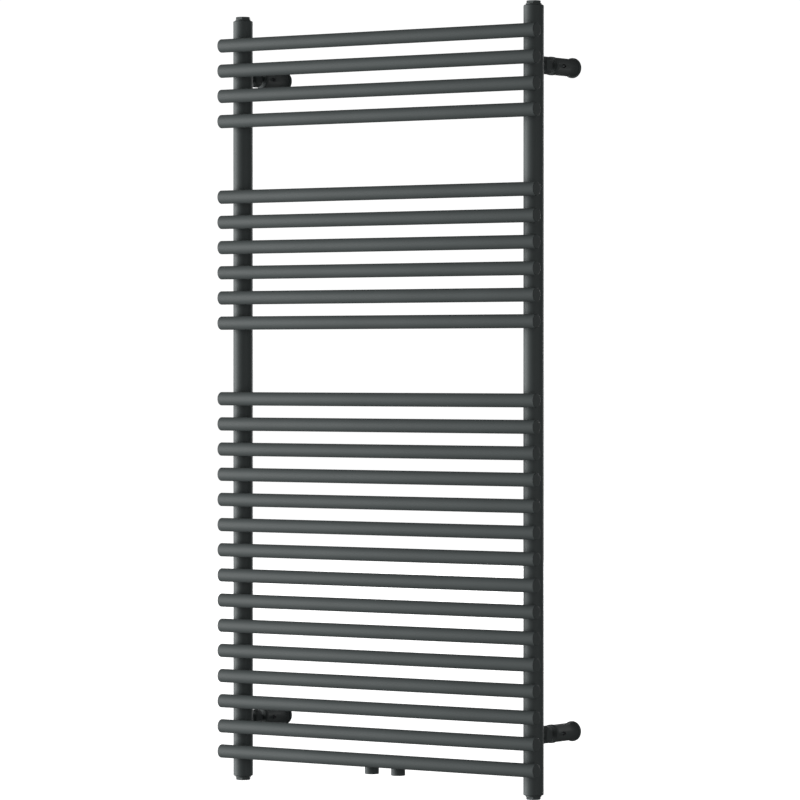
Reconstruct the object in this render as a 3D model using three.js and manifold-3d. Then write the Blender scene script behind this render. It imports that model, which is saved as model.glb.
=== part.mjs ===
// Towel radiator: 25 round bars in three groups, welded in front of two round collectors, with
// end plugs, an air vent, two connection stubs below, and four telescopic wall brackets.
// Millimetres. +X runs along the bars, +Y into the wall and +Z up. The origin lies in the wall
// plane, midway between the collectors, at mid height.
import * as THREE from "three";
import { mergeVertices } from "three/addons/utils/BufferGeometryUtils.js";
import Module from "manifold-3d";

const wasm = await Module();
wasm.setup();

// Bars
const BAR_LENGTH = 600;
const BAR_RADIUS = 10.65;
const BAR_WALL = 1.5;
const BAR_CAP = 2; // thickness of the flat end caps
const BAR_RIM = 1; // chamfer round each end cap
const BAR_PITCH = 40;
const BAR_GROUPS = [4, 6, 15]; // bars in each group, from the top
const TOWEL_GAP_PLACES = 2; // bar places left free between two groups

// Collectors
const WALL_DISTANCE = 110; // wall plane to the collector axes
const COLLECTOR_RADIUS = 15.55;
const COLLECTOR_WALL = 1.5;
const COLLECTOR_LENGTH = 1200;
const COLLECTOR_X = 276.5;
const COLLECTOR_RIM = 1.2; // chamfer round each end
const END_RING = 12; // length of the threaded ring welded into each end
const BAR_AHEAD = 26.7; // bar axes in front of the collector axes

// Ports that join the bars and stubs to what they are welded to
const PORT_RADIUS = 5.5;
const PORT_BORE = 4;
const PORT_REACH = 2.2; // how far a neck stands out of a bar's back
const FIT_GAP = 0.3; // clearance between separate pieces

// End plugs, 3/8 inch pipe thread drawn plain
const THREAD_RADIUS = 8.2;
const PLUG_SHANK = 11;
const COLLAR_RADIUS = 12.2;
const COLLAR_HEIGHT = 2;
const HEX_ACROSS = 21.6;
const HEX_HEIGHT = 4.2;
const SEAL_SEAT = 2; // depth of the counterbore that holds the seal
const SEAL_SECTION = 0.8; // radius of the seal's cord
const SEAL_RADIUS = 9.6;

// Air vent in the top right plug
const VENT_RADIUS = 3.9;
const VENT_SEAT = -8.5; // height of the valve seat from the collector's end
const VENT_TIP_RADIUS = 1.2;
const VENT_HEAD = 5; // width of the square head
const VENT_HEAD_LENGTH = 4;
const VENT_TOP = 5.2;
const OUTLET_RADIUS = 1.2;
const OUTLET_HEIGHT = 4.1;

// Connection stubs below the lowest bar
const STUB_SPACING = 50;
const STUB_RADIUS = 11;
const STUB_BORE = 8.3;
const STUB_BORE_DEPTH = 17;
const STUB_LENGTH = 28.5;
const STUB_RIM = 0.4;
const STUB_BELOW_BAR = 23.5; // lowest bar's axis down to the stub's mouth
const STUB_NECK_DROP = 2; // lowest bar's axis down to the neck's axis
const PARTITION = 2; // wall that parts flow from return inside the lowest bar

// Wall brackets; lengths run from the collector axis towards the wall
const BRACKET_Z = 510;
const BOSS_RADIUS = 7;
const BOSS_END = 21;
const STUD_RADIUS = 3;
const STUD_START = 17.6;
const HEAD_RADIUS = 13.5;
const HEAD_END = 36.3;
const HEAD_FLATS = 21.4; // width across the two side flats
const ROD_RADIUS = 5;
const ROD_END = 84;
const ROD_FLAT = 4.3; // height of the clamping flat above the rod's axis
const ROD_FLAT_START = 50;
const SLEEVE_RADIUS = 13.5;
const SLEEVE_START = 45;
const SLEEVE_END = 105;
const SLEEVE_LIP = 0.7; // how far the front lip stands proud
const SLEEVE_LIP_END = 53;
const SOCKET_RADIUS = 8.3; // wider bore at the wall end, for the spigot
const SOCKET_START = 88;
const DISC_RADIUS = 15.5;
const SPIGOT_RADIUS = 8;
const SPIGOT_LENGTH = 11;
const SCREW_HOLE = 2.75;
const SCREW_HEAD = 5;
const GRUB_RADIUS = 3;
const GRUB_Y = 64;
const GRUB_END = 15.5; // outer end from the bracket's axis
const GRUB_SOCKET = 3; // width across the socket's flats
const GRUB_SOCKET_DEPTH = 3.5;
const EDGE = 0.6; // small chamfer on turned edges

// Facets of round pieces
const FINE = 24;
const MEDIUM = 16;
const COARSE = 8;
const HEX = 6;
const SEAL_SIDES = 5;

const COATING = { color: 0x505454, roughness: 0.42, metalness: 0.25 };
const BRACKET_COATING = { color: 0x2b2f2f, roughness: 0.5, metalness: 0.2 };
const BLACK_STEEL = { color: 0x222424, roughness: 0.45, metalness: 0.8 };
const NICKEL = { color: 0xc9c5b8, roughness: 0.3, metalness: 1 };
const RUBBER = { color: 0x151515, roughness: 0.85, metalness: 0 };

// A closed geometry as a solid for cutting and joining.
function solidOf(geometry) {
  geometry.deleteAttribute("normal");
  geometry.deleteAttribute("uv");
  const merged = mergeVertices(geometry, 1e-4);
  const vertProperties = new Float32Array(merged.attributes.position.array);
  const triVerts = new Uint32Array(merged.index.array);
  return new wasm.Manifold(new wasm.Mesh({ numProp: 3, vertProperties, triVerts }));
}

// A finished solid as a named mesh with its own material.
function meshOf(name, solid, finish) {
  const { vertProperties, triVerts } = solid.getMesh();
  const geometry = new THREE.BufferGeometry();
  geometry.setAttribute("position", new THREE.BufferAttribute(vertProperties, 3));
  geometry.setIndex(new THREE.BufferAttribute(triVerts, 1));
  geometry.computeVertexNormals();
  const mesh = new THREE.Mesh(geometry, new THREE.MeshStandardMaterial(finish));
  mesh.name = name;
  return mesh;
}

// A solid turned round +Y; outline is a list of [radius, height], climbing on the outside.
function turned(outline, facets) {
  const points = outline.map(([radius, height]) => new THREE.Vector2(radius, height));
  return new THREE.LatheGeometry(points, facets);
}

function alongX(geometry) {
  return geometry.rotateZ(-Math.PI / 2);
}

function alongZ(geometry) {
  return geometry.rotateX(Math.PI / 2);
}

// A plain rod round +Y from low to high.
function rod(radius, low, high, facets) {
  return turned([[0, low], [radius, low], [radius, high], [0, high]], facets);
}

// A hexagonal bar round +Y with flats facing +X and -X.
function hexBar(across, low, high) {
  return rod(across / Math.sqrt(3), low, high, HEX);
}

function block(x0, x1, y0, y1, z0, z1) {
  const box = new THREE.BoxGeometry(x1 - x0, y1 - y0, z1 - z0);
  return box.translate((x0 + x1) / 2, (y0 + y1) / 2, (z0 + z1) / 2);
}

// Heights of the bars' axes, from the top down.
function barHeights() {
  const places = BAR_GROUPS.reduce((sum, count) => sum + count + TOWEL_GAP_PLACES, -TOWEL_GAP_PLACES);
  const heights = [];
  let place = 0;
  for (const count of BAR_GROUPS) {
    for (let i = 0; i < count; i += 1) {
      heights.push(((places - 1) / 2 - place) * BAR_PITCH);
      place += 1;
    }
    place += TOWEL_GAP_PLACES;
  }
  return heights;
}

// The hollow of a bar from x0 to x1.
function barHollow(x0, x1) {
  return solidOf(alongX(rod(BAR_RADIUS - BAR_WALL, x0, x1, COARSE)));
}

// A bar along X with a welded neck behind each end that enters its collector.
function barSolid() {
  const half = BAR_LENGTH / 2;
  const rim = BAR_RADIUS - BAR_RIM;
  const outline = [
    [0, -half],
    [rim, -half],
    [BAR_RADIUS, BAR_RIM - half],
    [BAR_RADIUS, half - BAR_RIM],
    [rim, half],
    [0, half],
  ];
  let bar = solidOf(alongX(turned(outline, MEDIUM)));
  for (const x of [-COLLECTOR_X, COLLECTOR_X]) {
    bar = bar.add(solidOf(rod(PORT_RADIUS, 0, BAR_RADIUS + PORT_REACH, HEX).translate(x, 0, 0)));
  }
  return bar;
}

function barPort(x) {
  return solidOf(rod(PORT_BORE, 0, BAR_RADIUS + PORT_REACH + 1, HEX).translate(x, 0, 0));
}

function openBar() {
  const inside = BAR_LENGTH / 2 - BAR_CAP;
  let bar = barSolid().subtract(barHollow(-inside, inside));
  for (const x of [-COLLECTOR_X, COLLECTOR_X]) bar = bar.subtract(barPort(x));
  return bar;
}

// The lowest bar: a partition halves its hollow, and each half also opens to a stub.
function lowestBar() {
  const inside = BAR_LENGTH / 2 - BAR_CAP;
  let bar = barSolid();
  for (const side of [-1, 1]) {
    const ends = [side * (PARTITION / 2), side * inside].sort((a, b) => a - b);
    const stubHole = rod(PORT_RADIUS + FIT_GAP, 0, BAR_RADIUS + 1, HEX);
    stubHole.translate((side * STUB_SPACING) / 2, 0, -STUB_NECK_DROP);
    bar = bar.subtract(barHollow(...ends));
    bar = bar.subtract(barPort(side * COLLECTOR_X));
    bar = bar.subtract(solidOf(stubHole));
  }
  return bar;
}

// A collector along Z: a tube with a bored, counterbored ring in each end and a hole for each bar.
function collectorSolid(heights) {
  const half = COLLECTOR_LENGTH / 2;
  const inner = COLLECTOR_RADIUS - COLLECTOR_WALL;
  const bore = THREAD_RADIUS + FIT_GAP;
  const seat = SEAL_RADIUS + SEAL_SECTION + FIT_GAP;
  const upper = [
    [COLLECTOR_RADIUS, half - COLLECTOR_RIM],
    [COLLECTOR_RADIUS - COLLECTOR_RIM, half],
    [seat, half],
    [seat, half - SEAL_SEAT],
    [bore, half - SEAL_SEAT],
    [bore, half - END_RING],
    [inner, half - END_RING],
  ];
  const lower = upper.map(([radius, height]) => [radius, -height]).reverse();
  let collector = solidOf(alongZ(turned([...upper, ...lower, upper[0]], FINE)));
  for (const z of heights) {
    const hole = rod(PORT_RADIUS + FIT_GAP, -COLLECTOR_RADIUS - 1, 0, HEX);
    collector = collector.subtract(solidOf(hole.translate(0, 0, z)));
  }
  return collector;
}

// A short pipe closed at the top, with a neck forward into the lowest bar. Its origin is on the
// pipe's axis, level with the bar's axis.
function stubSolid() {
  const mouth = -STUB_BELOW_BAR;
  const top = mouth + STUB_LENGTH;
  const rim = STUB_RADIUS - STUB_RIM;
  const outline = [
    [0, mouth],
    [rim, mouth],
    [STUB_RADIUS, mouth + STUB_RIM],
    [STUB_RADIUS, top - STUB_RIM],
    [rim, top],
    [0, top],
  ];
  const neckEnd = BAR_AHEAD - BAR_RADIUS + BAR_WALL;
  const hollow = rod(STUB_BORE, mouth - 1, mouth + STUB_BORE_DEPTH, MEDIUM);
  const upperHollow = rod(PORT_BORE + 2, mouth + STUB_BORE_DEPTH - 1, top - BAR_CAP, COARSE);
  const neck = rod(PORT_RADIUS, -neckEnd, 0, HEX).translate(0, 0, -STUB_NECK_DROP);
  const neckBore = rod(PORT_BORE, -neckEnd - 1, 0, HEX).translate(0, 0, -STUB_NECK_DROP);
  return solidOf(alongZ(turned(outline, MEDIUM)))
    .add(solidOf(neck))
    .subtract(solidOf(alongZ(hollow)))
    .subtract(solidOf(alongZ(upperHollow)))
    .subtract(solidOf(neckBore));
}

// A plug on the end of a collector, upwards along Z from the collector's end face.
function plugSolid() {
  const collarTop = FIT_GAP + COLLAR_HEIGHT;
  const top = collarTop + HEX_HEIGHT;
  const outline = [
    [0, -PLUG_SHANK],
    [THREAD_RADIUS - 1, -PLUG_SHANK],
    [THREAD_RADIUS, 1 - PLUG_SHANK],
    [THREAD_RADIUS, FIT_GAP],
    [COLLAR_RADIUS, FIT_GAP],
    [COLLAR_RADIUS, collarTop],
    [0, collarTop],
  ];
  const corner = HEX_ACROSS / Math.sqrt(3);
  const flat = HEX_ACROSS / 2;
  const dome = [
    [0, collarTop - 1],
    [corner, collarTop - 1],
    [corner, top - 1],
    [flat - 0.4, top],
    [0, top],
  ];
  const hexagon = solidOf(alongZ(hexBar(HEX_ACROSS, collarTop - 1, top).rotateY(Math.PI / HEX)));
  const head = hexagon.intersect(solidOf(alongZ(turned(dome, MEDIUM))));
  return solidOf(alongZ(turned(outline, FINE))).add(head);
}

// The vent plug: threaded through for the valve screw, with a seat below and an outlet behind.
function ventPlugSolid() {
  const top = FIT_GAP + COLLAR_HEIGHT + HEX_HEIGHT;
  const bore = VENT_RADIUS + FIT_GAP;
  const outlet = rod(OUTLET_RADIUS, 0, COLLAR_RADIUS + 1, COARSE).translate(0, 0, OUTLET_HEIGHT);
  return plugSolid()
    .subtract(solidOf(alongZ(rod(bore, VENT_SEAT, top + 1, COARSE))))
    .subtract(solidOf(alongZ(rod(VENT_TIP_RADIUS + FIT_GAP, -PLUG_SHANK - 1, VENT_SEAT + 1, COARSE))))
    .subtract(solidOf(outlet));
}

// The valve screw: a cone that closes the seat, a threaded length and a square head.
function ventScrewSolid() {
  const headBase = VENT_TOP - VENT_HEAD_LENGTH;
  const outline = [
    [0, VENT_SEAT + FIT_GAP],
    [VENT_TIP_RADIUS, VENT_SEAT + FIT_GAP],
    [VENT_RADIUS, VENT_SEAT + FIT_GAP + VENT_RADIUS - VENT_TIP_RADIUS],
    [VENT_RADIUS, headBase],
    [0, headBase],
  ];
  const half = VENT_HEAD / 2;
  const square = solidOf(block(-half, half, -half, half, headBase - 1, VENT_TOP));
  const corners = solidOf(alongZ(rod(VENT_RADIUS - 0.6, headBase - 1, VENT_TOP, COARSE)));
  return solidOf(alongZ(turned(outline, COARSE))).add(square.intersect(corners));
}

// A round seal lying in the counterbore under a plug's collar.
function sealSolid() {
  const outline = [];
  for (let i = 0; i <= SEAL_SIDES; i += 1) {
    const angle = (i * 2 * Math.PI) / SEAL_SIDES;
    const radius = SEAL_RADIUS + SEAL_SECTION * Math.cos(angle);
    outline.push([radius, SEAL_SECTION * Math.sin(angle) - SEAL_SEAT / 2]);
  }
  return solidOf(alongZ(turned(outline, MEDIUM)));
}

// The welded boss, saddled to the collector, with a threaded hole for the bracket's stud.
function bossSolid() {
  const inside = COLLECTOR_RADIUS - 3;
  const half = BOSS_RADIUS * 2;
  return solidOf(rod(BOSS_RADIUS, inside, BOSS_END, MEDIUM))
    .subtract(solidOf(alongZ(rod(COLLECTOR_RADIUS + FIT_GAP, -half, half, FINE))))
    .subtract(solidOf(rod(STUD_RADIUS + FIT_GAP, STUD_START - FIT_GAP, BOSS_END + 1, COARSE)));
}

// The turned pin: a stud into the boss, a flatted head and the rod that slides in the sleeve.
function pinSolid() {
  const headStart = BOSS_END + FIT_GAP;
  const outline = [
    [0, STUD_START],
    [STUD_RADIUS, STUD_START],
    [STUD_RADIUS, headStart],
    [HEAD_RADIUS - EDGE, headStart],
    [HEAD_RADIUS, headStart + EDGE],
    [HEAD_RADIUS, HEAD_END - EDGE],
    [HEAD_RADIUS - EDGE, HEAD_END],
    [ROD_RADIUS, HEAD_END],
    [ROD_RADIUS, ROD_END - EDGE],
    [ROD_RADIUS - EDGE, ROD_END],
    [0, ROD_END],
  ];
  const far = HEAD_RADIUS + 1;
  const flat = HEAD_FLATS / 2;
  const clamp = block(ROD_FLAT, far, ROD_FLAT_START, ROD_END + 1, -far, far);
  return solidOf(turned(outline, MEDIUM))
    .subtract(solidOf(block(flat, far, headStart - 1, HEAD_END + FIT_GAP, -far, far)))
    .subtract(solidOf(block(-far, -flat, headStart - 1, HEAD_END + FIT_GAP, -far, far)))
    .subtract(solidOf(clamp));
}

// The sleeve: a lipped tube open at both ends, tapped on one side for the grub screw.
function sleeveSolid() {
  const bore = ROD_RADIUS + FIT_GAP;
  const lip = SLEEVE_RADIUS + SLEEVE_LIP;
  const outline = [
    [lip - EDGE, SLEEVE_START],
    [lip, SLEEVE_START + EDGE],
    [lip, SLEEVE_LIP_END - EDGE],
    [SLEEVE_RADIUS, SLEEVE_LIP_END],
    [SLEEVE_RADIUS, SLEEVE_END - EDGE],
    [SLEEVE_RADIUS - EDGE, SLEEVE_END],
    [SOCKET_RADIUS, SLEEVE_END],
    [SOCKET_RADIUS, SOCKET_START],
    [bore, SOCKET_START],
    [bore, SLEEVE_START],
    [lip - EDGE, SLEEVE_START],
  ];
  const tapped = alongX(rod(GRUB_RADIUS + FIT_GAP, 0, SLEEVE_RADIUS + 1, COARSE));
  return solidOf(turned(outline, MEDIUM)).subtract(solidOf(tapped.translate(0, GRUB_Y, 0)));
}

// The wall disc: a flat round foot with a spigot in the sleeve and a countersunk screw hole.
function discSolid() {
  const front = SLEEVE_END + FIT_GAP;
  const spigot = SLEEVE_END - SPIGOT_LENGTH;
  const outline = [
    [SCREW_HEAD, spigot],
    [SPIGOT_RADIUS, spigot],
    [SPIGOT_RADIUS, front],
    [DISC_RADIUS - 2 * EDGE, front],
    [DISC_RADIUS, front + 2 * EDGE],
    [DISC_RADIUS, WALL_DISTANCE],
    [SCREW_HOLE, WALL_DISTANCE],
    [SCREW_HOLE, spigot + SCREW_HEAD - SCREW_HOLE],
    [SCREW_HEAD, spigot],
  ];
  return solidOf(turned(outline, FINE));
}

// The grub screw on the +X side of a sleeve, with a hexagon socket in its outer end.
function grubSolid() {
  const tip = ROD_FLAT + FIT_GAP;
  const outline = [
    [0, tip],
    [GRUB_RADIUS - EDGE, tip],
    [GRUB_RADIUS, tip + EDGE],
    [GRUB_RADIUS, GRUB_END - EDGE],
    [GRUB_RADIUS - EDGE, GRUB_END],
    [0, GRUB_END],
  ];
  const socket = hexBar(GRUB_SOCKET, GRUB_END - GRUB_SOCKET_DEPTH, GRUB_END + 1);
  return solidOf(alongX(turned(outline, COARSE))).subtract(solidOf(alongX(socket)));
}

function addBars(parent, heights) {
  const plain = openBar();
  heights.forEach((z, i) => {
    const last = i === heights.length - 1;
    const name = `bar_${String(i + 1).padStart(2, "0")}`;
    const bar = meshOf(name, last ? lowestBar() : plain, COATING);
    bar.position.set(0, -BAR_AHEAD, z);
    parent.add(bar);
  });
}

function addCollector(parent, side, heights) {
  const x = side === "left" ? -COLLECTOR_X : COLLECTOR_X;
  const collector = meshOf(`collector_${side}`, collectorSolid(heights), COATING);
  collector.position.x = x;
  parent.add(collector);
  for (const end of ["top", "bottom"]) addPlug(parent, side, end, x);
}

// A plug with its seal; the bottom ones are turned over to face down.
function addPlug(parent, side, end, x) {
  const vented = end === "top" && side === "right";
  const place = new THREE.Group();
  place.position.set(x, 0, ((end === "top" ? 1 : -1) * COLLECTOR_LENGTH) / 2);
  place.rotation.x = end === "top" ? 0 : Math.PI;
  if (vented) {
    place.add(meshOf("vent_plug_top_right", ventPlugSolid(), COATING));
    place.add(meshOf("vent_screw", ventScrewSolid(), NICKEL));
  } else {
    place.add(meshOf(`blind_plug_${end}_${side}`, plugSolid(), COATING));
  }
  place.add(meshOf(`seal_ring_${end}_${side}`, sealSolid(), RUBBER));
  parent.add(place);
}

function addStubs(parent, lowestZ) {
  for (const [side, sign] of [["left", -1], ["right", 1]]) {
    const stub = meshOf(`connection_stub_${side}`, stubSolid(), COATING);
    stub.position.set((sign * STUB_SPACING) / 2, 0, lowestZ);
    parent.add(stub);
  }
}

function addBracket(parent, side, end) {
  const place = new THREE.Group();
  const z = end === "top" ? BRACKET_Z : -BRACKET_Z;
  place.position.set(side === "left" ? -COLLECTOR_X : COLLECTOR_X, 0, z);
  const where = `${end}_${side}`;
  const grub = meshOf(`grub_screw_${where}`, grubSolid(), BLACK_STEEL);
  grub.position.y = GRUB_Y;
  place.add(meshOf(`bracket_boss_${where}`, bossSolid(), COATING));
  place.add(meshOf(`bracket_pin_${where}`, pinSolid(), BRACKET_COATING));
  place.add(meshOf(`bracket_sleeve_${where}`, sleeveSolid(), BRACKET_COATING));
  place.add(meshOf(`wall_disc_${where}`, discSolid(), BRACKET_COATING));
  place.add(grub);
  parent.add(place);
}

const heights = barHeights();
const radiator = new THREE.Group();
radiator.position.y = -WALL_DISTANCE;
addBars(radiator, heights);
for (const side of ["left", "right"]) addCollector(radiator, side, heights);
addStubs(radiator, heights[heights.length - 1]);
for (const end of ["top", "bottom"]) {
  for (const side of ["left", "right"]) addBracket(radiator, side, end);
}

const group = new THREE.Group();
group.add(radiator);

export default group;
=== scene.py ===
import math

import bmesh
import bpy
from mathutils import Matrix, Vector


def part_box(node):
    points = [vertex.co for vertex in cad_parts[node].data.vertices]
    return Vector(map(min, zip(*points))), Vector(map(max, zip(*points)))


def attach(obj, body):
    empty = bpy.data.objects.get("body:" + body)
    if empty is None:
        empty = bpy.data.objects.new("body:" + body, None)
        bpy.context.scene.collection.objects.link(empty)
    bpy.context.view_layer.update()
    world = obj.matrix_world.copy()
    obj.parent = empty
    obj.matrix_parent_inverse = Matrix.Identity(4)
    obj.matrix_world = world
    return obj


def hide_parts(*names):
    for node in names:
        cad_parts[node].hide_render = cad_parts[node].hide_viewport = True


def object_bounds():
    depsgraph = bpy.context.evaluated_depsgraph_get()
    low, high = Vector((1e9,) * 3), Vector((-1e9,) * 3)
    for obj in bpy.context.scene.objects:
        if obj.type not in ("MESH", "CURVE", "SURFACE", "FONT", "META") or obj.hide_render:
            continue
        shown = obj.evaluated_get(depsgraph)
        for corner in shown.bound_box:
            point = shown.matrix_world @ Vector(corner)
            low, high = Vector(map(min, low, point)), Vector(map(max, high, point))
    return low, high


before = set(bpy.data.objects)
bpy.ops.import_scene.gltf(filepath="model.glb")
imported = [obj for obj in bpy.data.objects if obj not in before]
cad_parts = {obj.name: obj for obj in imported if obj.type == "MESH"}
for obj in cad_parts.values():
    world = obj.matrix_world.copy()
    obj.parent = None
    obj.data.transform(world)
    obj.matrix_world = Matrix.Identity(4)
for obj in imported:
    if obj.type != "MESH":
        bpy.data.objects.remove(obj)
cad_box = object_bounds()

bl_info = {
    "name": "Towel Radiator Finish",
    "version": (1, 0, 0),
    "blender": (4, 5, 0),
    "location": "3D View > Sidebar > Radiator",
    "description": "Finished surfaces, welds and studio for a tubular towel radiator",
    "category": "Object",
}

SIDES = ("left", "right")
ENDS = ("top", "bottom")
CORNERS = tuple(f"{end}_{side}" for end in ENDS for side in SIDES)
BARS = tuple(sorted(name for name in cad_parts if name.startswith("bar_")))
RADIATOR = "radiator"
WALL_FIXINGS = "wall_fixings"

MM = 0.001
FACETS = 64  # round facets of the tubes
SMALL_FACETS = 72  # round facets of plugs and brackets, a multiple of 12
SHARP = math.radians(34)  # edges that turn more than this stay crisp

PLUS_X = Vector((1, 0, 0))
PLUS_Y = Vector((0, 1, 0))
PLUS_Z = Vector((0, 0, 1))
MINUS_Y = Vector((0, -1, 0))

# Sizes inside the parts. Distances along a bracket are from the collector's axis to the wall.
COLLECTOR_BORE = 8.5 * MM
COLLECTOR_RING = 12 * MM  # length of the bored ring in each end
COLLECTOR_CHAMFER = 1.2 * MM
COLLECTOR_WALL = 1.5 * MM
BAR_CAP_BAND = 0.4 * MM  # band kept flat inside the edge of a bar's cap
WELD_SINK = 0.15 * MM  # how far a bead goes into the surfaces it joins
WELD_RING = 2.5 * MM  # thickness of a bead's ring
WELD_WAIST = 1.1 * MM  # how far a bead draws in halfway
WELD_RIPPLE = 0.10 * MM
STUB_RIM = 0.4 * MM
STUB_DEPTH = 18 * MM
NECK_DROP = 2 * MM  # lowest bar's axis down to the axis of a stub's neck
NECK_BEAD = 6.3 * MM
NECK_BORE = 4 * MM
THREAD_CREST = 7.5 * MM
THREAD_START = 1.1 * MM
THREAD_TURNS = 11
THREAD_DEPTH = 0.64  # depth of the groove, over the pitch
THREAD_ROOT_AT = 0.45  # place of the groove within a turn
THREAD_CREST_AT = 0.9
THREAD_EDGE = 0.08 * MM
THREAD_MOUTH = 0.3 * MM  # how far the mouth is wider than the groove
PLUG_SHANK = 8.2 * MM
PLUG_SHANK_TIP = 7.4 * MM
PLUG_SHANK_CHAMFER = 0.8 * MM
PLUG_GAP = 0.3 * MM  # from the collector's end to the collar
PLUG_COLLAR = 2 * MM
PLUG_COLLAR_FOOT = 0.25 * MM
PLUG_COLLAR_CHAMFER = 0.35 * MM
PLUG_HEX_FIT = 0.985  # the drawn hexagon over its nominal size
PLUG_HEX_CHAMFER = 0.965
PLUG_HEX_TOP = 0.93
PLUG_EDGE = 0.18 * MM
PLUG_CAP_BAND = 0.2 * MM
VENT_MOUTH = 5.4 * MM
VENT_BORE = 4.6 * MM
VENT_MOUTH_DEPTH = 0.8 * MM
VENT_BORE_DEPTH = 6 * MM
OUTLET = 1.2 * MM
OUTLET_START = 6 * MM
OUTLET_END = 14 * MM
OUTLET_HEIGHT = 4.1 * MM
VENT_TIP = 1.1 * MM
VENT_SHANK = 3.8 * MM
VENT_TIP_Z = -13 * MM  # heights of the vent screw, down from the top of its head
VENT_CONE_Z = -10 * MM
VENT_SHANK_Z = -4 * MM
VENT_SHANK_EDGE = 0.15 * MM
VENT_HEAD = 5 * MM
VENT_HEAD_HEIGHT = 4.2 * MM
VENT_HEAD_EDGE = 0.45 * MM
VENT_SLOT = (8 * MM, 0.9 * MM, 2.4 * MM)
BOSS_SINK = 0.5 * MM
BOSS_BORE = 3.3 * MM
BOSS_BORE_DEPTH = 3 * MM
BOSS_WELD_SINK = 0.1 * MM
BOSS_WELD_RISE = 1.7 * MM
BOSS_WELD_INSIDE = 0.3 * MM
BOSS_WELD_REACH = 1.6 * MM
BOSS_WELD_LIMIT = 3 * MM
HEAD_START = 21.3 * MM
HEAD_END = 36.3 * MM
STUD = 3 * MM
ROD = 5 * MM
ROD_FLAT = 4.3 * MM
ROD_FLAT_START = 50 * MM
ROD_CHAMFER = 0.8 * MM
SLEEVE_BORE = 5.3 * MM
SLEEVE_LIP = 0.7 * MM
SLEEVE_LIP_END = 53 * MM
SOCKET = 8.3 * MM
SOCKET_START = 88 * MM
SPIGOT = 7.9 * MM
SCREW_HOLE = 2.75 * MM
SCREW_HEAD = 5 * MM
GRUB_HOLE = 3.25 * MM
GRUB_HOLE_MOUTH = 3.9 * MM
GRUB_HOLE_START = 3 * MM  # distances of the hole from the bracket's axis
GRUB_HOLE_CHAMFER = 13.1 * MM
GRUB_HOLE_END = 14.1 * MM
DISC_GAP = 0.15 * MM  # from the sleeve to the disc
DISC_RIM_IN = 1.3 * MM
DISC_RIM_MIDDLE = (0.35 * MM, 0.45 * MM)  # in from the radius, back from the front
DISC_RIM_BACK = 1.4 * MM
DISC_BACK_CHAMFER = 0.4 * MM
GRUB_THREAD = 0.45 * MM
GRUB_PITCH = 1.0 * MM
GRUB_LEAD = 0.6 * MM  # length of the pointed start
GRUB_ENDS = 1.4 * MM  # length without thread, both ends together
GRUB_NOSE = 1.0 * MM
GRUB_SHOULDER = 0.25 * MM
GRUB_TAIL = 0.5 * MM
GRUB_TAIL_IN = 0.7 * MM
GRUB_CAP_BAND = 0.15 * MM
GRUB_SOCKET = 1.5 * MM  # half the width across the flats
GRUB_SOCKET_DEPTH = 3.5 * MM
BEAD_FACETS = 40
BEAD_STEPS = 5
BEAD_RIPPLES = 13
MERGE = 1e-7

FLOOR_HALF = 400
FLOOR_DROP = 0.12
# Name, azimuth and elevation in degrees, distance and size in metres, setting of the power
LAMPS = (
    ("key_light", -65, 0, 13, (11, 11), "key_power"),
    ("front_light", 62, 0, 10, (5, 5), "front_power"),
    ("back_light", 190, 2, 10, (7, 3), "back_power"),
)


# Places and sizes taken from the frame


def middle(node):
    low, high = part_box(node)
    return (low + high) / 2


def bar_radius():
    low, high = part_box(BARS[0])
    return (high.z - low.z) / 2


def bar_axis(node):
    """A point on the bar's axis at its middle, leaving out the necks behind the bar."""
    low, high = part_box(node)
    return Vector(((low.x + high.x) / 2, low.y + bar_radius(), (low.z + high.z) / 2))


def collector_axis(side):
    return middle(f"collector_{side}")


def collector_radius():
    low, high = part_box("collector_left")
    return (high.x - low.x) / 2


def plug_node(corner):
    vented = f"vent_plug_{corner}"
    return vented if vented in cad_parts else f"blind_plug_{corner}"


# Settings


class RadiatorSizes(bpy.types.PropertyGroup):
    rim: bpy.props.FloatProperty(
        name="Bar rim",
        description="Rounding round the end caps of the bars",
        default=1.1 * MM,
        min=0,
        subtype="DISTANCE",
        unit="LENGTH",
    )
    weld: bpy.props.FloatProperty(
        name="Weld reach",
        description="How far the weld between a bar and a collector spreads from its middle",
        default=6.6 * MM,
        min=0,
        subtype="DISTANCE",
        unit="LENGTH",
    )
    edge: bpy.props.FloatProperty(
        name="Edge rounding",
        description="Rounding on the turned edges of plugs and brackets",
        default=0.35 * MM,
        min=0,
        subtype="DISTANCE",
        unit="LENGTH",
    )
    hex_across: bpy.props.FloatProperty(
        name="Plug hexagon",
        description="Width across the flats of the end plugs",
        default=21.6 * MM,
        min=0,
        subtype="DISTANCE",
        unit="LENGTH",
    )
    thread_pitch: bpy.props.FloatProperty(
        name="Thread pitch",
        description="Pitch of the pipe thread inside the connection stubs",
        default=1.337 * MM,
        min=0.5 * MM,
        subtype="DISTANCE",
        unit="LENGTH",
    )


class RadiatorFinish(bpy.types.PropertyGroup):
    coat: bpy.props.FloatVectorProperty(
        name="Powder coat",
        description="Colour of the anthracite powder coat",
        default=(0.100, 0.115, 0.115),
        subtype="COLOR",
    )
    bracket: bpy.props.FloatVectorProperty(
        name="Bracket coat",
        description="Colour of the coated brackets",
        default=(0.095, 0.108, 0.108),
        subtype="COLOR",
    )
    roughness: bpy.props.FloatProperty(
        name="Coat roughness",
        description="Roughness of the satin powder coat",
        default=0.56,
        min=0,
        max=1,
    )
    grain: bpy.props.FloatProperty(
        name="Coat texture",
        description="Height of the powder coat's fine orange-peel texture",
        default=0.03 * MM,
        min=0,
        subtype="DISTANCE",
        unit="LENGTH",
    )


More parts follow.
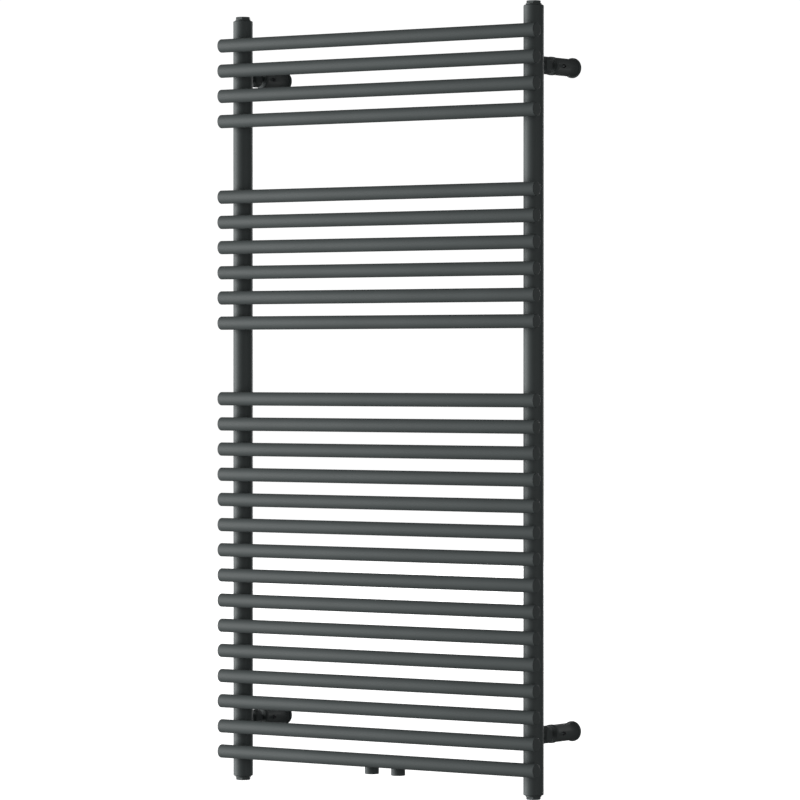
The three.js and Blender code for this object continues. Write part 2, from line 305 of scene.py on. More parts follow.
class RadiatorStudio(bpy.types.PropertyGroup):
    azimuth: bpy.props.FloatProperty(
        name="Camera azimuth",
        description="Angle of the camera round the radiator from straight in front",
        default=math.radians(35.115),
        subtype="ANGLE",
        unit="ROTATION",
    )
    tilt: bpy.props.FloatProperty(
        name="Camera tilt",
        description="How far the camera looks down",
        default=math.radians(0.467),
        subtype="ANGLE",
        unit="ROTATION",
    )
    distance: bpy.props.FloatProperty(
        name="Camera distance",
        description="Camera to the middle of the bars",
        default=6.7622,
        subtype="DISTANCE",
        unit="LENGTH",
    )
    aim: bpy.props.FloatVectorProperty(
        name="Camera aim",
        description="Point on the bars that the camera's level line passes through",
        default=(0.0473, -0.1367, 0.0547),
        subtype="XYZ",
        unit="LENGTH",
    )
    lens: bpy.props.FloatProperty(
        name="Lens",
        description="Focal length in millimetres on a 36 mm sensor",
        default=197.17,
    )
    key_power: bpy.props.FloatProperty(
        name="Key light",
        description="Power of the large soft light at the front left",
        default=2800,
        unit="POWER",
    )
    front_power: bpy.props.FloatProperty(
        name="Front light",
        description="Power of the weak soft light at the front right",
        default=150,
        unit="POWER",
    )
    back_power: bpy.props.FloatProperty(
        name="Back light",
        description="Power of the soft light behind the radiator",
        default=420,
        unit="POWER",
    )
    fill: bpy.props.FloatProperty(
        name="Fill",
        description="Strength of the even light from all round",
        default=0.07,
        min=0,
    )


# Mesh building


def set_ring(verts, ring):
    """Moves a ring of vertices round +Z to its place.

    A ring is (radius, height) or (half width, height, chamfer radius).
    The second form is a hexagon with a flat facing -Y, whose corners are turned down outside the
    chamfer radius.
    """
    for vert in verts:
        angle = math.atan2(vert.co.y, vert.co.x)
        radius, height = ring[0], ring[1]
        if len(ring) == 3:
            sector = math.radians(60)
            off_flat = (angle + math.pi / 2 + sector / 2) % sector - sector / 2
            radius = ring[0] / math.cos(off_flat)
            height -= max(0, radius - ring[2]) * math.tan(math.radians(30))
        vert.co = Vector((radius * math.cos(angle), radius * math.sin(angle), height))


def lofted(rings, facets=SMALL_FACETS, closed=False):
    """A mesh through rings round +Z, capped at both ends or closed on itself as a tube."""
    bm = bmesh.new()
    verts = bmesh.ops.create_circle(bm, cap_ends=False, segments=facets, radius=1)["verts"]
    set_ring(verts, rings[0])
    first = list(bm.edges)
    edges = first
    for ring in rings[1:]:
        made = bmesh.ops.extrude_edge_only(bm, edges=edges)["geom"]
        edges = [item for item in made if isinstance(item, bmesh.types.BMEdge)]
        set_ring([item for item in made if isinstance(item, bmesh.types.BMVert)], ring)
    if closed:
        bmesh.ops.bridge_loops(bm, edges=first + edges)
    else:
        for loop in (first, edges):
            bmesh.ops.contextual_create(bm, geom=loop)
    bmesh.ops.recalc_face_normals(bm, faces=bm.faces)
    return bm


def round_edges(bm, width, turn=math.radians(28), segments=3):
    """Rounds every edge that turns more than the given angle."""
    edges = [edge for edge in bm.edges if edge.calc_face_angle(0) > turn]
    bmesh.ops.bevel(
        bm,
        geom=edges,
        offset=width,
        offset_type="OFFSET",
        segments=segments,
        profile=0.5,
        affect="EDGES",
        clamp_overlap=True,
        material=-1,
    )


def frame_large_caps(bm, width):
    """A narrow band inside each many-sided face, so that its flat stays evenly lit."""
    caps = [face for face in bm.faces if len(face.verts) > 12]
    if caps:
        bmesh.ops.inset_individual(bm, faces=caps, thickness=width, use_even_offset=True)


def stand(bm, centre, direction):
    """Turns a mesh built round +Z to lie along a direction, with its origin at centre."""
    turn = PLUS_Z.rotation_difference(direction).to_matrix().to_4x4()
    bmesh.ops.transform(bm, matrix=Matrix.Translation(centre) @ turn, verts=bm.verts)


def slice_off(bm, point, normal):
    """Cuts away what lies beyond a plane and closes the cut."""
    geom = list(bm.verts) + list(bm.edges) + list(bm.faces)
    cut = bmesh.ops.bisect_plane(
        bm, geom=geom, dist=MERGE, plane_co=point, plane_no=normal, clear_outer=True
    )
    edges = [item for item in cut["geom_cut"] if isinstance(item, bmesh.types.BMEdge)]
    bmesh.ops.holes_fill(bm, edges=edges, sides=0)


def bead(centre, direction, near, far, inner, outer, waist, ripple=0.0):
    """A closed ring of weld round an axis, from a near surface to a far one.

    near and far give the surface's distance along the direction at a point (u, v) across it. The
    outside sweeps in from outer at both surfaces to waist halfway.
    """
    rings = [(outer, step / BEAD_STEPS) for step in range(BEAD_STEPS + 1)]
    rings += [(inner, 1), (inner, 0)]
    bm = lofted(rings, BEAD_FACETS, closed=True)
    for vert in bm.verts:
        share = vert.co.z
        angle = math.atan2(vert.co.y, vert.co.x)
        radius = math.hypot(vert.co.x, vert.co.y)
        if radius > (inner + outer) / 2:
            sweep = (2 * share - 1) ** 2
            radius = waist + (outer - waist) * sweep
            radius += ripple * math.sin(BEAD_RIPPLES * angle) * (1 - sweep)
        u = radius * math.cos(angle)
        v = radius * math.sin(angle)
        vert.co = Vector((u, v, near(u, v) * (1 - share) + far(u, v) * share))
    stand(bm, centre, direction)
    return bm


def joined(parts):
    """Several meshes as one."""
    whole = bmesh.new()
    for part in parts:
        copy = bpy.data.meshes.new("part")
        part.to_mesh(copy)
        part.free()
        whole.from_mesh(copy)
        bpy.data.meshes.remove(copy)
    return whole


def add_piece(name, bm, slot, body, nodes=()):
    """Puts a finished mesh in the scene as a piece that rides on a body, in its slot's finish."""
    bmesh.ops.remove_doubles(bm, verts=bm.verts, dist=MERGE)
    bmesh.ops.recalc_face_normals(bm, faces=bm.faces)
    for face in bm.faces:
        face.smooth = True
    for edge in bm.edges:
        edge.smooth = edge.calc_face_angle(0) < SHARP
    mesh = bpy.data.meshes.new(name)
    bm.to_mesh(mesh)
    bm.free()
    piece = bpy.data.objects.new(name, mesh)
    bpy.context.scene.collection.objects.link(piece)
    mesh.materials.append(material_for(slot))
    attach(piece, body)
    if nodes:
        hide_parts(*nodes)
    return piece


def cut_with(piece, cutters):
    """Subtracts meshes from a piece and keeps the result."""
    holes = []
    for bm in cutters:
        mesh = bpy.data.meshes.new("hole")
        bmesh.ops.recalc_face_normals(bm, faces=bm.faces)
        bm.to_mesh(mesh)
        bm.free()
        hole = bpy.data.objects.new("hole", mesh)
        bpy.context.scene.collection.objects.link(hole)
        modifier = piece.modifiers.new("hole", "BOOLEAN")
        modifier.operation = "DIFFERENCE"
        modifier.solver = "EXACT"
        modifier.object = hole
        holes.append(hole)
    depsgraph = bpy.context.evaluated_depsgraph_get()
    finished = bpy.data.meshes.new_from_object(piece.evaluated_get(depsgraph))
    piece.modifiers.clear()
    old = piece.data
    piece.data = finished
    finished.name = piece.name
    bpy.data.meshes.remove(old)
    for hole in holes:
        bpy.data.objects.remove(hole)
    bm = bmesh.new()
    bm.from_mesh(finished)
    for edge in bm.edges:
        edge.smooth = edge.calc_face_angle(0) < SHARP
    bm.to_mesh(finished)
    bm.free()


# Materials


def new_material(name):
    material = bpy.data.materials.new(name)
    material.use_nodes = True
    tree = material.node_tree
    shader = tree.nodes["Principled BSDF"]
    coordinates = tree.nodes.new("ShaderNodeTexCoord").outputs["Object"]
    return material, tree, shader, coordinates


def noise(tree, coordinates, scale, detail=3.0):
    node = tree.nodes.new("ShaderNodeTexNoise")
    node.inputs["Scale"].default_value = scale
    node.inputs["Detail"].default_value = detail
    node.inputs["Roughness"].default_value = 0.5
    tree.links.new(coordinates, node.inputs["Vector"])
    return node.outputs["Fac"]


def spread(tree, value, low, high):
    """A noise value stretched from 0.3..0.7, where most of it lies, to low..high."""
    node = tree.nodes.new("ShaderNodeMapRange")
    node.inputs["From Min"].default_value = 0.3
    node.inputs["From Max"].default_value = 0.7
    node.inputs["To Min"].default_value = low
    node.inputs["To Max"].default_value = high
    tree.links.new(value, node.inputs["Value"])
    return node.outputs["Result"]


def shade_colour(tree, shader, colour, value, depth):
    """The base colour, a little darker and lighter with the value."""
    node = tree.nodes.new("ShaderNodeMix")
    node.data_type = "RGBA"
    node.inputs["A"].default_value = (*(channel * (1 - depth) for channel in colour), 1)
    node.inputs["B"].default_value = (*(channel * (1 + depth) for channel in colour), 1)
    tree.links.new(value, node.inputs["Factor"])
    tree.links.new(node.outputs["Result"], shader.inputs["Base Color"])


def add_bump(tree, shader, layers):
    """Bump layers of (height value, distance), one over another."""
    normal = None
    for value, distance in layers:
        node = tree.nodes.new("ShaderNodeBump")
        node.inputs["Strength"].default_value = 1
        node.inputs["Distance"].default_value = distance
        tree.links.new(value, node.inputs["Height"])
        if normal:
            tree.links.new(normal, node.inputs["Normal"])
        normal = node.outputs["Normal"]
    tree.links.new(normal, shader.inputs["Normal"])


def powder_coat(name, colour, roughness, grain):
    """Satin powder coat: fine orange peel, a faint grain in its gloss and slight cloudiness."""
    material, tree, shader, coordinates = new_material(name)
    peel = noise(tree, coordinates, 700, 2)
    speckle = noise(tree, coordinates, 3200, 2)
    cloud = noise(tree, coordinates, 9, 3)
    shade_colour(tree, shader, colour, spread(tree, cloud, 0, 1), 0.05)
    gloss = spread(tree, speckle, roughness - 0.04, roughness + 0.05)
    tree.links.new(gloss, shader.inputs["Roughness"])
    add_bump(tree, shader, [(peel, grain), (speckle, grain / 4)])
    shader.inputs["Specular IOR Level"].default_value = 0.22
    return material


def turned_metal(name, colour, roughness):
    """Machined metal with faint turning marks and handling marks in its gloss."""
    material, tree, shader, coordinates = new_material(name)
    marks = noise(tree, coordinates, 1400, 3)
    smear = noise(tree, coordinates, 160, 4)
    shade_colour(tree, shader, colour, spread(tree, smear, 0, 1), 0.10)
    gloss = spread(tree, smear, roughness - 0.08, roughness + 0.1)
    tree.links.new(gloss, shader.inputs["Roughness"])
    add_bump(tree, shader, [(marks, 0.01 * MM)])
    shader.inputs["Metallic"].default_value = 1
    return material


def moulded_rubber(name, colour):
    material, tree, shader, coordinates = new_material(name)
    dust = noise(tree, coordinates, 260, 4)
    shade_colour(tree, shader, colour, spread(tree, dust, 0, 1), 0.25)
    tree.links.new(spread(tree, dust, 0.7, 0.9), shader.inputs["Roughness"])
    add_bump(tree, shader, [(dust, 0.02 * MM)])
    return material


def material_for(slot):
    """The finish of one of the record's slots, made once, beside the frame's own plain material."""
    name = f"{slot}_finish"
    found = bpy.data.materials.get(name)
    if found:
        return found
    finish = bpy.context.scene.radiator_finish
    if slot == "powder_coat":
        return powder_coat(name, finish.coat, finish.roughness, finish.grain)
    if slot == "bracket_coat":
        return powder_coat(name, finish.bracket, finish.roughness, finish.grain)
    if slot == "black_steel":
        return turned_metal(name, (0.10, 0.105, 0.11), 0.38)
    if slot == "nickel":
        return turned_metal(name, (0.62, 0.59, 0.53), 0.28)
    return moulded_rubber(name, (0.012, 0.012, 0.012))


def dress(node, slot):
    """Gives a CAD node that stays in view its finish."""
    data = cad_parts[node].data
    data.materials.clear()
    data.materials.append(material_for(slot))


# Operators


class RADIATOR_OT_bars(bpy.types.Operator):
    """Builds the round bars with their rounded end caps"""

    bl_idname = "radiator.bars"
    bl_label = "Bars"

    def execute(self, context):
        sizes = context.scene.radiator_sizes
        radius = bar_radius()
        for node in BARS:
            low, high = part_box(node)
            half = (high.x - low.x) / 2
            bm = lofted([(radius, -half), (radius, half)], FACETS)
            round_edges(bm, sizes.rim, segments=5)
            frame_large_caps(bm, BAR_CAP_BAND)
            stand(bm, bar_axis(node), PLUS_X)
            add_piece(f"tube_{node}", bm, "powder_coat", RADIATOR, [node])
        return {"FINISHED"}


class RADIATOR_OT_collectors(bpy.types.Operator):
    """Builds the two upright collectors, with the bored ring in each end"""

    bl_idname = "radiator.collectors"
    bl_label = "Collectors"

    def execute(self, context):
        sizes = context.scene.radiator_sizes
        radius = collector_radius()
        for side in SIDES:
            node = f"collector_{side}"
            low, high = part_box(node)
            half = (high.z - low.z) / 2
            upper = [
                (radius, half - COLLECTOR_CHAMFER),
                (radius - COLLECTOR_CHAMFER, half),
                (COLLECTOR_BORE, half),
                (COLLECTOR_BORE, half - COLLECTOR_RING),
                (radius - COLLECTOR_WALL, half - COLLECTOR_RING),
            ]
            lower = [(r, -z) for r, z in reversed(upper)]
            bm = lofted(upper + lower, FACETS, closed=True)
            round_edges(bm, sizes.edge)
            stand(bm, collector_axis(side), PLUS_Z)
            add_piece(f"tube_{node}", bm, "powder_coat", RADIATOR, [node])
        return {"FINISHED"}


class RADIATOR_OT_welds(bpy.types.Operator):
    """Builds the weld beads where the bars meet the collectors and where the stubs meet the lowest
    bar; the bracket bosses get theirs with the brackets
    """

    bl_idname = "radiator.welds"
    bl_label = "Welds"

    def execute(self, context):
        reach = context.scene.radiator_sizes.weld
        upright = collector_radius()
        level = bar_radius()

        def drop(radius, offset):
            return radius - math.sqrt(radius**2 - offset**2)

        for node in BARS:
            beads = []
            axis = bar_axis(node)
            for side in SIDES:
                collector = collector_axis(side)
                gap = collector.y - upright - (axis.y + level)
                beads.append(
                    bead(
                        Vector((collector.x, collector.y - upright, axis.z)),
                        MINUS_Y,
                        lambda u, v: -drop(upright, u) - WELD_SINK,
                        lambda u, v: gap + drop(level, v) + WELD_SINK,
                        reach - WELD_RING,
                        reach,
                        reach - WELD_WAIST,
                        ripple=WELD_RIPPLE,
                    )
                )
            number = node.split("_")[1]
            add_piece(f"weld_{number}", joined(beads), "powder_coat", RADIATOR)
        for side in SIDES:
            node = f"connection_stub_{side}"
            low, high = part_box(node)
            radius = (high.x - low.x) / 2
            height = bar_axis(BARS[-1]).z - NECK_DROP
            axis = Vector(((low.x + high.x) / 2, high.y - radius, height))
            gap = axis.y - radius - (bar_axis(BARS[-1]).y + level)
            neck = bead(
                Vector((axis.x, axis.y - radius, axis.z)),
                MINUS_Y,
                lambda u, v: -drop(radius, u) - WELD_SINK,
                lambda u, v: gap + drop(level, v - NECK_DROP) + WELD_SINK,
                NECK_BORE,
                NECK_BEAD,
                NECK_BEAD - WELD_WAIST,
            )
            add_piece(f"neck_{node}", neck, "powder_coat", RADIATOR)
        return {"FINISHED"}


class RADIATOR_OT_stubs(bpy.types.Operator):
    """Builds the connection stubs with the thread inside their mouths"""

    bl_idname = "radiator.stubs"
    bl_label = "Connection stubs"

    def execute(self, context):
        pitch = context.scene.radiator_sizes.thread_pitch
        root = THREAD_CREST + THREAD_DEPTH * pitch
        for side in SIDES:
            node = f"connection_stub_{side}"
            low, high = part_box(node)
            radius = (high.x - low.x) / 2
            length = high.z - low.z
            outside = [
                (radius - STUB_RIM, length),
                (radius, length - STUB_RIM),
                (radius, STUB_RIM),
                (radius - STUB_RIM, 0),
                (root + THREAD_MOUTH, 0),
                (THREAD_CREST, THREAD_START),
            ]
            thread = []
            for turn in range(THREAD_TURNS):
                start = THREAD_START + turn * pitch
                thread += [
                    (root, start + pitch * THREAD_ROOT_AT),
                    (THREAD_CREST, start + pitch * THREAD_CREST_AT),
                ]
            bm = lofted([*outside, *thread, (THREAD_CREST, STUB_DEPTH)])
            round_edges(bm, THREAD_EDGE, turn=math.radians(40), segments=2)
            stand(bm, Vector(((low.x + high.x) / 2, high.y - radius, low.z)), PLUS_Z)
            add_piece(f"pipe_{node}", bm, "powder_coat", RADIATOR, [node])
        return {"FINISHED"}


class RADIATOR_OT_plugs(bpy.types.Operator):
    """Builds the hexagon end plugs, the air vent among them"""

    bl_idname = "radiator.plugs"
    bl_label = "End plugs"

    def execute(self, context):
        half = context.scene.radiator_sizes.hex_across / 2
        for corner in CORNERS:
            node = plug_node(corner)
            vented = node.startswith("vent")
            low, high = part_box(node)
            collar = (high.y - low.y) / 2
            upwards = corner.startswith("top")
            length = high.z - low.z
            tube_low, tube_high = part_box(f"collector_{corner.split('_')[1]}")
            end = tube_high.z if upwards else tube_low.z
            top = (high.z - end) if upwards else (end - low.z)
            step = PLUG_GAP + PLUG_COLLAR
            rings = [
                (PLUG_SHANK_TIP, top - length),
                (PLUG_SHANK, top - length + PLUG_SHANK_CHAMFER),
                (PLUG_SHANK, PLUG_GAP),
                (collar - PLUG_COLLAR_FOOT, PLUG_GAP),
                (collar, PLUG_GAP + PLUG_COLLAR_FOOT),
                (collar, step - PLUG_COLLAR_CHAMFER),
                (collar - PLUG_COLLAR_CHAMFER, step),
                (half * PLUG_HEX_FIT, step, half * 2),
                (half * PLUG_HEX_FIT, top, half * PLUG_HEX_CHAMFER),
                (half * PLUG_HEX_TOP, top),
            ]
            if vented:
                rings += [
                    (VENT_MOUTH, top),
                    (VENT_BORE, top - VENT_MOUTH_DEPTH),
                    (VENT_BORE, top - VENT_BORE_DEPTH),
                ]
            bm = lofted(rings)
            round_edges(bm, PLUG_EDGE, turn=math.radians(38))
            frame_large_caps(bm, PLUG_CAP_BAND)
            centre = Vector(((low.x + high.x) / 2, (low.y + high.y) / 2, end))
            stand(bm, centre, PLUS_Z)
            if not upwards:
                turn = Matrix.Rotation(math.pi, 4, "X")
                about = Matrix.Translation(centre) @ turn @ Matrix.Translation(-centre)
                bmesh.ops.transform(bm, matrix=about, verts=bm.verts)
            piece = add_piece(f"cap_{node}", bm, "powder_coat", RADIATOR, [node])
            if vented:
                outlet = lofted([(OUTLET, OUTLET_START), (OUTLET, OUTLET_END)], 32)
                stand(outlet, centre + PLUS_Z * OUTLET_HEIGHT, PLUS_Y)
                cut_with(piece, [outlet])
            dress(f"seal_ring_{corner}", "seal_rubber")
        return {"FINISHED"}


class RADIATOR_OT_vent_screw(bpy.types.Operator):
    """Builds the square-headed screw of the air vent"""

    bl_idname = "radiator.vent_screw"
    bl_label = "Vent screw"

    def execute(self, context):
        low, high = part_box("vent_screw")
        centre = Vector(((low.x + high.x) / 2, (low.y + high.y) / 2, high.z))
        shank = lofted(
            [(VENT_TIP, VENT_TIP_Z), (VENT_SHANK, VENT_CONE_Z), (VENT_SHANK, VENT_SHANK_Z)]
        )
        round_edges(shank, VENT_SHANK_EDGE)
        head = bmesh.new()
        size = Matrix.Diagonal((VENT_HEAD, VENT_HEAD, VENT_HEAD_HEIGHT, 1))
        place = Matrix.Translation((0, 0, -VENT_HEAD_HEIGHT / 2))
        bmesh.ops.create_cube(head, size=1, matrix=place @ size)
        round_edges(head, VENT_HEAD_EDGE)
        slot = bmesh.new()
        width = Matrix.Diagonal((*VENT_SLOT, 1))
        bmesh.ops.create_cube(slot, size=1, matrix=Matrix.Translation(centre) @ width)
        bm = joined([shank, head])
        stand(bm, centre, PLUS_Z)
        piece = add_piece("vent_screw_body", bm, "nickel", "vent_screw", ["vent_screw"])
        cut_with(piece, [slot])
        return {"FINISHED"}


class RADIATOR_OT_brackets(bpy.types.Operator):
    """Builds the four wall brackets: boss, flatted pin, sleeve and wall disc"""

    bl_idname = "radiator.brackets"
    bl_label = "Wall brackets"

    def boss(self, corner, axis, edge):
        node = f"bracket_boss_{corner}"
        low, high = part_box(node)
        radius = (high.x - low.x) / 2
        tube = collector_radius()
        start = Vector((axis.x, axis.y + tube, axis.z))
        length = high.y - start.y
        bm = lofted(
            [
                (radius, -BOSS_SINK),
                (radius, length),
                (BOSS_BORE, length),
                (BOSS_BORE, length - BOSS_BORE_DEPTH),
            ]
        )
        round_edges(bm, edge)
        stand(bm, start, PLUS_Y)

        def tube_face(u, v):
            return math.sqrt(tube**2 - u**2) - tube - BOSS_WELD_SINK

        weld = bead(
            start,
            PLUS_Y,
            tube_face,
            lambda u, v: BOSS_WELD_RISE,
            radius - BOSS_WELD_INSIDE,
            radius + BOSS_WELD_REACH,
            radius,
        )
        for vert in weld.verts:
            vert.co.y = max(vert.co.y, start.y - BOSS_WELD_LIMIT)
        add_piece(f"weld_{node}", joined([bm, weld]), "powder_coat", RADIATOR, [node])

    def pin(self, corner, axis, edge):
        node = f"bracket_pin_{corner}"
        low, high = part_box(node)
        head = (high.z - low.z) / 2
        flat = (high.x - low.x) / 2
        tip = high.y - axis.y
        bm = lofted(
            [
                (STUD, low.y - axis.y),
                (STUD, HEAD_START),
                (head, HEAD_START),
                (head, HEAD_END),
                (ROD, HEAD_END),
                (ROD, tip - ROD_CHAMFER),
                (ROD - ROD_CHAMFER, tip),
            ]
        )
        slice_off(bm, Vector((flat, 0, 0)), PLUS_X)
        slice_off(bm, Vector((-flat, 0, 0)), -PLUS_X)
        round_edges(bm, edge)
        stand(bm, axis, PLUS_Y)
        piece = add_piece(f"turned_{node}", bm, "bracket_coat", RADIATOR, [node])
        clamp = bmesh.new()
        size = Vector((ROD, tip, 3 * ROD))
        corner_point = axis + Vector((ROD_FLAT, ROD_FLAT_START, -size.z / 2))
        place = Matrix.Translation(corner_point + size / 2) @ Matrix.Diagonal((*size, 1))
        bmesh.ops.create_cube(clamp, size=1, matrix=place)
        cut_with(piece, [clamp])

    def sleeve(self, corner, axis, edge):
        node = f"bracket_sleeve_{corner}"
        low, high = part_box(node)
        lip = (high.x - low.x) / 2
        radius = lip - SLEEVE_LIP
        start = low.y - axis.y
        end = high.y - axis.y
        bm = lofted(
            [
                (lip, start),
                (lip, SLEEVE_LIP_END - SLEEVE_LIP),
                (radius, SLEEVE_LIP_END),
                (radius, end),
                (SOCKET, end),
                (SOCKET, SOCKET_START),
                (SLEEVE_BORE, SOCKET_START),
                (SLEEVE_BORE, start),
            ],
            closed=True,
        )
        round_edges(bm, edge * 1.4, segments=4)
        stand(bm, axis, PLUS_Y)
        piece = add_piece(f"turned_{node}", bm, "bracket_coat", WALL_FIXINGS, [node])
        grub = middle(f"grub_screw_{corner}")
        hole = lofted(
            [
                (GRUB_HOLE, GRUB_HOLE_START),
                (GRUB_HOLE, GRUB_HOLE_CHAMFER),
                (GRUB_HOLE_MOUTH, GRUB_HOLE_END),
            ],
            48,
        )
        stand(hole, Vector((axis.x, grub.y, grub.z)), PLUS_X)
        cut_with(piece, [hole])

    def disc(self, corner, axis, edge):
        node = f"wall_disc_{corner}"
        low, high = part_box(node)
        radius = (high.x - low.x) / 2
        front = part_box(f"bracket_sleeve_{corner}")[1].y - axis.y + DISC_GAP
        start = low.y - axis.y
        end = high.y - axis.y
        bm = lofted(
            [
                (SCREW_HEAD, start),
                (SPIGOT, start),
                (SPIGOT, front),
                (radius - DISC_RIM_IN, front),
                (radius - DISC_RIM_MIDDLE[0], front + DISC_RIM_MIDDLE[1]),
                (radius, front + DISC_RIM_BACK),
                (radius, end - DISC_BACK_CHAMFER),
                (radius - DISC_BACK_CHAMFER, end),
                (SCREW_HOLE, end),
                (SCREW_HOLE, start + SCREW_HEAD - SCREW_HOLE),
            ],
            closed=True,
        )
        round_edges(bm, edge * 0.7)
        stand(bm, axis, PLUS_Y)
        add_piece(f"turned_{node}", bm, "bracket_coat", WALL_FIXINGS, [node])

    def execute(self, context):
        edge = context.scene.radiator_sizes.edge
        for corner in CORNERS:
            axis = collector_axis(corner.split("_")[1])
            axis.z = middle(f"bracket_pin_{corner}").z
            self.boss(corner, axis, edge)
            self.pin(corner, axis, edge)
            self.sleeve(corner, axis, edge)
            self.disc(corner, axis, edge)
        return {"FINISHED"}


class RADIATOR_OT_grub_screws(bpy.types.Operator):
    """Builds the socket grub screws that lock the brackets"""

    bl_idname = "radiator.grub_screws"
    bl_label = "Grub screws"

    def execute(self, context):
        for corner in CORNERS:
            node = f"grub_screw_{corner}"
            low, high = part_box(node)
            length = high.x - low.x
            crest = (high.z - low.z) / 2
            root = crest - GRUB_THREAD
            rings = [(crest - GRUB_NOSE, 0), (root, GRUB_LEAD)]
            turns = int((length - GRUB_ENDS) / GRUB_PITCH)
            for turn in range(turns):
                start = GRUB_LEAD + turn * GRUB_PITCH
                rings += [(crest, start + GRUB_PITCH / 2), (root, start + GRUB_PITCH)]
            rings += [(crest - GRUB_SHOULDER, length - GRUB_TAIL), (crest - GRUB_TAIL_IN, length)]
            bm = lofted(rings, 48)
            frame_large_caps(bm, GRUB_CAP_BAND)
            place = Vector((low.x, (low.y + high.y) / 2, (low.z + high.z) / 2))
            stand(bm, place, PLUS_X)
            piece = add_piece(f"turned_{node}", bm, "black_steel", node, [node])
            beyond = 9 * MM  # past the corners, so that the hexagon keeps them sharp
            socket = lofted(
                [(GRUB_SOCKET, -GRUB_SOCKET_DEPTH, beyond), (GRUB_SOCKET, 1 * MM, beyond)], 48
            )
            stand(socket, Vector((high.x, place.y, place.z)), PLUS_X)
            cut_with(piece, [socket])
        return {"FINISHED"}


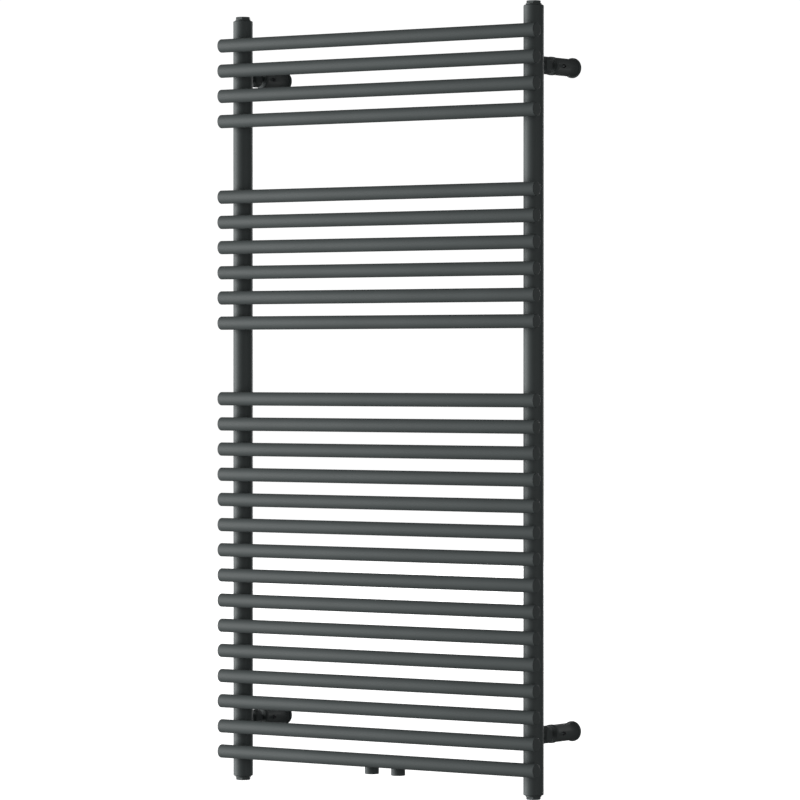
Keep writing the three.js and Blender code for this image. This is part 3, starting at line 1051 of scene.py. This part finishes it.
class RADIATOR_OT_studio(bpy.types.Operator):
    """Builds the pale floor, the soft lights and the camera"""

    bl_idname = "radiator.studio"
    bl_label = "Studio"

    def floor(self):
        mesh = bpy.data.meshes.new("studio_floor")
        bm = bmesh.new()
        bmesh.ops.create_grid(bm, x_segments=1, y_segments=1, size=FLOOR_HALF)
        bmesh.ops.translate(bm, verts=bm.verts, vec=(0, 0, cad_box[0].z - FLOOR_DROP))
        bm.to_mesh(mesh)
        bm.free()
        floor = bpy.data.objects.new("studio_floor", mesh)
        bpy.context.scene.collection.objects.link(floor)
        material, tree, shader, coordinates = new_material("pale_floor")
        clouds = spread(tree, noise(tree, coordinates, 3), 0, 1)
        shade_colour(tree, shader, (0.86, 0.86, 0.86), clouds, 0.01)
        shader.inputs["Roughness"].default_value = 0.8
        shader.inputs["Emission Color"].default_value = (1, 1, 1, 1)
        shader.inputs["Emission Strength"].default_value = 0.95
        mesh.materials.append(material)
        floor.visible_diffuse = False
        floor.visible_glossy = False
        floor.visible_shadow = False

    def world(self, fill):
        world = bpy.data.worlds.new("studio_world")
        bpy.context.scene.world = world
        world.use_nodes = True
        tree = world.node_tree
        even = tree.nodes["Background"]
        even.inputs["Color"].default_value = (1, 1, 1, 1)
        even.inputs["Strength"].default_value = fill
        seen = tree.nodes.new("ShaderNodeBackground")
        seen.inputs["Color"].default_value = (1, 1, 1, 1)
        seen.inputs["Strength"].default_value = 1.05
        rays = tree.nodes.new("ShaderNodeLightPath")
        mix = tree.nodes.new("ShaderNodeMixShader")
        tree.links.new(rays.outputs["Is Camera Ray"], mix.inputs["Fac"])
        tree.links.new(even.outputs["Background"], mix.inputs[1])
        tree.links.new(seen.outputs["Background"], mix.inputs[2])
        tree.links.new(mix.outputs["Shader"], tree.nodes["World Output"].inputs["Surface"])

    def soft_light(self, name, azimuth, elevation, distance, size, power):
        data = bpy.data.lights.new(name, "AREA")
        data.shape = "RECTANGLE"
        data.size, data.size_y = size
        data.energy = power
        lamp = bpy.data.objects.new(name, data)
        bpy.context.scene.collection.objects.link(lamp)
        turn = math.radians(azimuth)
        rise = math.radians(elevation)
        out = Vector(
            (math.sin(turn) * math.cos(rise), -math.cos(turn) * math.cos(rise), math.sin(rise))
        )
        aim = Vector((0, bar_axis(BARS[0]).y, 0))
        lamp.location = aim + out * distance
        lamp.rotation_euler = (-out).to_track_quat("-Z", "Y").to_euler()

    def camera(self, studio):
        data = bpy.data.cameras.new("studio_camera")
        data.lens = studio.lens
        data.sensor_width = 36
        data.clip_end = 1000
        camera = bpy.data.objects.new("studio_camera", data)
        bpy.context.scene.collection.objects.link(camera)
        turn = studio.azimuth
        back = Vector((math.sin(turn), -math.cos(turn), 0))
        camera.location = Vector(studio.aim) + back * studio.distance
        camera.rotation_euler = (math.radians(90) - studio.tilt, 0, turn)
        bpy.context.scene.camera = camera

    def execute(self, context):
        studio = context.scene.radiator_studio
        self.floor()
        self.world(studio.fill)
        for name, azimuth, elevation, distance, size, power in LAMPS:
            self.soft_light(name, azimuth, elevation, distance, size, getattr(studio, power))
        self.camera(studio)
        context.scene.view_settings.view_transform = "Standard"
        return {"FINISHED"}


class RADIATOR_PT_panel(bpy.types.Panel):
    """Sizes, colours and building steps of the towel radiator"""

    bl_idname = "RADIATOR_PT_panel"
    bl_label = "Towel Radiator"
    bl_space_type = "VIEW_3D"
    bl_region_type = "UI"
    bl_category = "Radiator"

    def draw(self, context):
        layout = self.layout
        for name in SETTINGS:
            settings = getattr(context.scene, name)
            for prop in type(settings).__annotations__:
                layout.prop(settings, prop)
        for operator in STEPS:
            layout.operator(operator.bl_idname)


SETTINGS = {
    "radiator_sizes": RadiatorSizes,
    "radiator_finish": RadiatorFinish,
    "radiator_studio": RadiatorStudio,
}
STEPS = (
    RADIATOR_OT_bars,
    RADIATOR_OT_collectors,
    RADIATOR_OT_welds,
    RADIATOR_OT_stubs,
    RADIATOR_OT_plugs,
    RADIATOR_OT_vent_screw,
    RADIATOR_OT_brackets,
    RADIATOR_OT_grub_screws,
    RADIATOR_OT_studio,
)


def register():
    for item in (*SETTINGS.values(), *STEPS, RADIATOR_PT_panel):
        bpy.utils.register_class(item)
    for name, kind in SETTINGS.items():
        setattr(bpy.types.Scene, name, bpy.props.PointerProperty(type=kind))


def unregister():
    for name in SETTINGS:
        delattr(bpy.types.Scene, name)
    for item in reversed((*SETTINGS.values(), *STEPS, RADIATOR_PT_panel)):
        bpy.utils.unregister_class(item)


def main():
    register()
    for step in STEPS:
        group, name = step.bl_idname.split(".")
        getattr(getattr(bpy.ops, group), name)()


if __name__ == "__main__":
    main()
